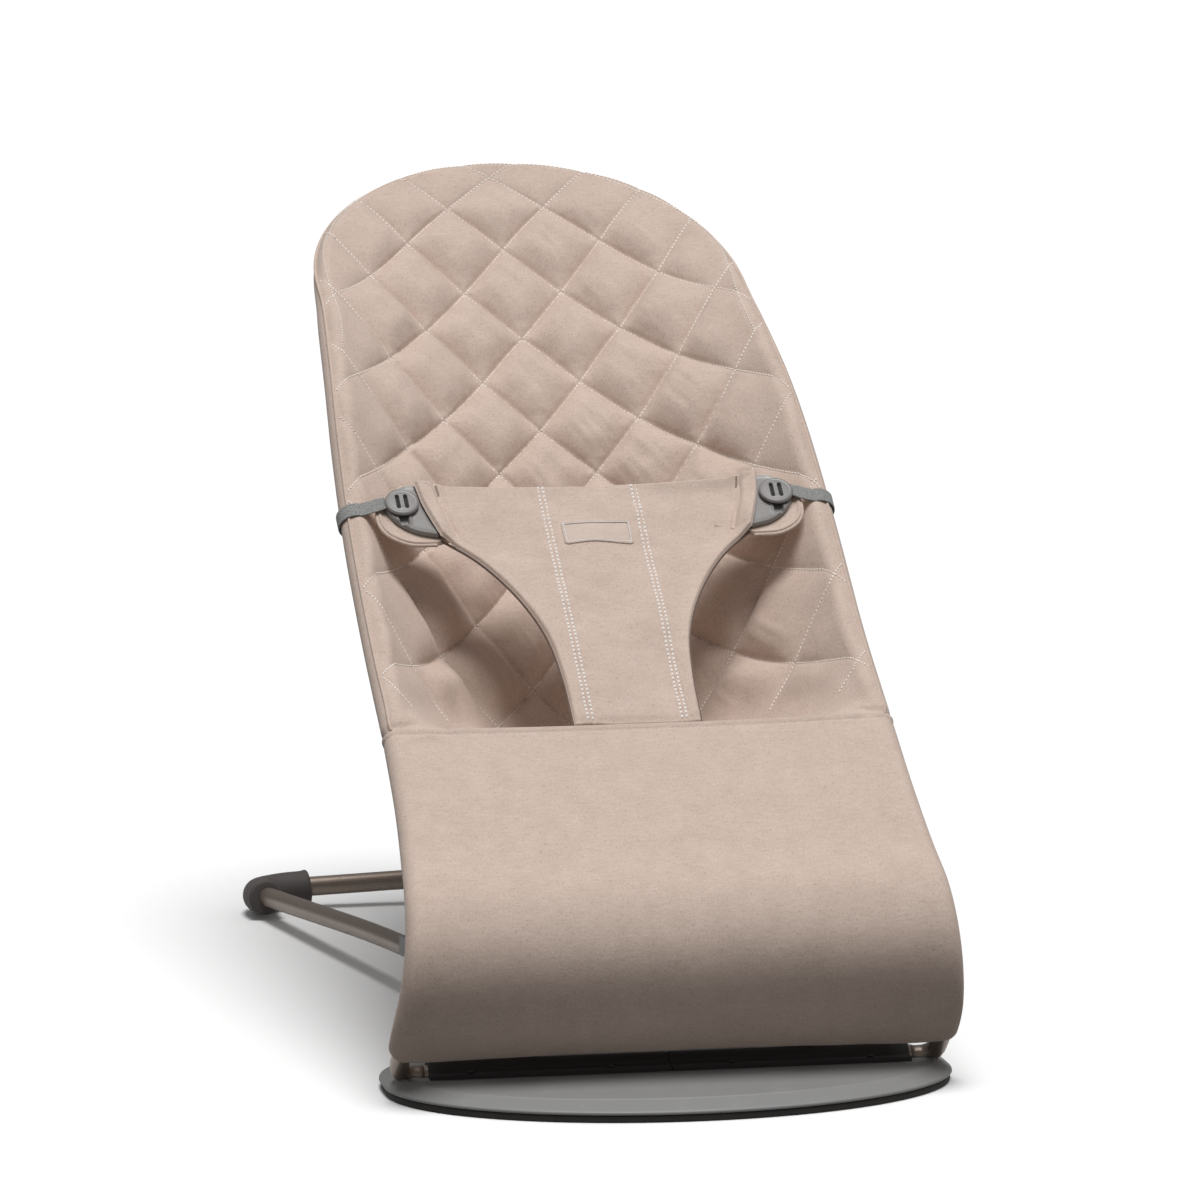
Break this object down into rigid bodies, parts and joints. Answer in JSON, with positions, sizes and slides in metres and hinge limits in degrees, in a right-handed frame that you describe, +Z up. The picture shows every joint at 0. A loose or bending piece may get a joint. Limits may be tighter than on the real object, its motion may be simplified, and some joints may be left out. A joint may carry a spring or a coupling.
{
  "type": "bouncer seat",
  "caption": "Folding baby bouncer seat: quilted hammock on a bowed steel frame, buttoned restraint flap, plain front panel, oval base plate and wide rear foot frame.",
  "frame": {"origin": "centre of the footprint on the floor, under the middle of the bounding box", "axes": "+Z up, +Y from the front of the base plate towards the rear feet, +X to the sitter's left"},
  "size_m": [0.3922, 0.7901, 0.5438],
  "materials": {
    "frame_tube": "satin metallic",
    "fittings": "satin",
    "mat_rubber": "matte",
    "foot_rubber": "matte",
    "quilted_cloth": "woven cotton",
    "plain_cloth": "woven cotton",
    "label_cloth": "woven",
    "webbing": "ribbed elastic",
    "button_plastic": "fine matte",
    "base_plastic": "fine matte"
  },
  "bodies": {
    "base": {"base_plate": "base_plastic", "base_mat": "mat_rubber", "rear_crossbar": "frame_tube", "side_rail_left": "frame_tube", "side_rail_right": "frame_tube", "rail_socket_left": "base_plastic", "rail_socket_right": "base_plastic", "hinge_cap_left": "base_plastic", "hinge_cap_right": "base_plastic", "cap_screw_left_inner": "mat_rubber", "cap_screw_right_inner": "mat_rubber", "cap_screw_left_outer": "mat_rubber", "cap_screw_right_outer": "mat_rubber", "rear_foot_left": "foot_rubber", "rear_foot_right": "foot_rubber", "stay_rack_left": "base_plastic", "stay_rack_right": "base_plastic"},
    "lower_frame": {"bottom_crossbar": "frame_tube", "front_panel": "plain_cloth", "lower_tube_left": "frame_tube", "lower_tube_right": "frame_tube", "stay_bracket_left": "fittings", "stay_bracket_right": "fittings"},
    "support_stay": {"stay_axle": "frame_tube", "stay_leg_left": "frame_tube", "stay_leg_right": "frame_tube", "axle_cap_left": "fittings", "axle_cap_right": "fittings"},
    "seat": {"head_tube": "frame_tube", "quilted_seat": "quilted_cloth", "restraint_flap": "plain_cloth", "label_patch": "label_cloth", "upper_tube_left": "frame_tube", "upper_tube_right": "frame_tube", "frame_collar_left": "fittings", "frame_collar_right": "fittings", "flap_tongue_left": "plain_cloth", "flap_tongue_right": "plain_cloth", "keyhole_plate_left": "button_plastic", "keyhole_plate_right": "button_plastic", "side_strap_left": "webbing", "side_strap_right": "webbing"},
    "left_button": {"button_left": "button_plastic"},
    "right_button": {"button_right": "button_plastic"}
  },
  "joints": [
    {"name": "fold", "type": "hinge", "parent": "base", "child": "lower_frame", "pos_m": [0, -0.274, 0.014], "axis": [1, 0, 0], "range_deg": [-30.8, 0]},
    {"name": "stay_swing", "type": "hinge", "parent": "lower_frame", "child": "support_stay", "pos_m": [0, -0.197, 0.165], "axis": [1, 0, 0], "range_deg": [0, 53]},
    {"name": "bounce", "type": "hinge", "parent": "lower_frame", "child": "seat", "pos_m": [0, -0.172, 0.226], "axis": [1, 0, 0], "range_deg": [-5, 3], "stiffness_Nm_per_rad": 60, "springref_deg": 1.72},
    {"name": "left_unhook", "type": "slide", "parent": "seat", "child": "left_button", "axis": [0, 0.8115, 0.5843], "range_m": [-0.008, 0.009], "stiffness_N_per_m": 200},
    {"name": "right_unhook", "type": "slide", "parent": "seat", "child": "right_button", "axis": [0, 0.8115, 0.5843], "range_m": [-0.008, 0.009], "stiffness_N_per_m": 200}
  ],
  "couplings": [
    {"joint": "stay_swing", "follows": "fold", "ratio": -1.72}
  ]
}
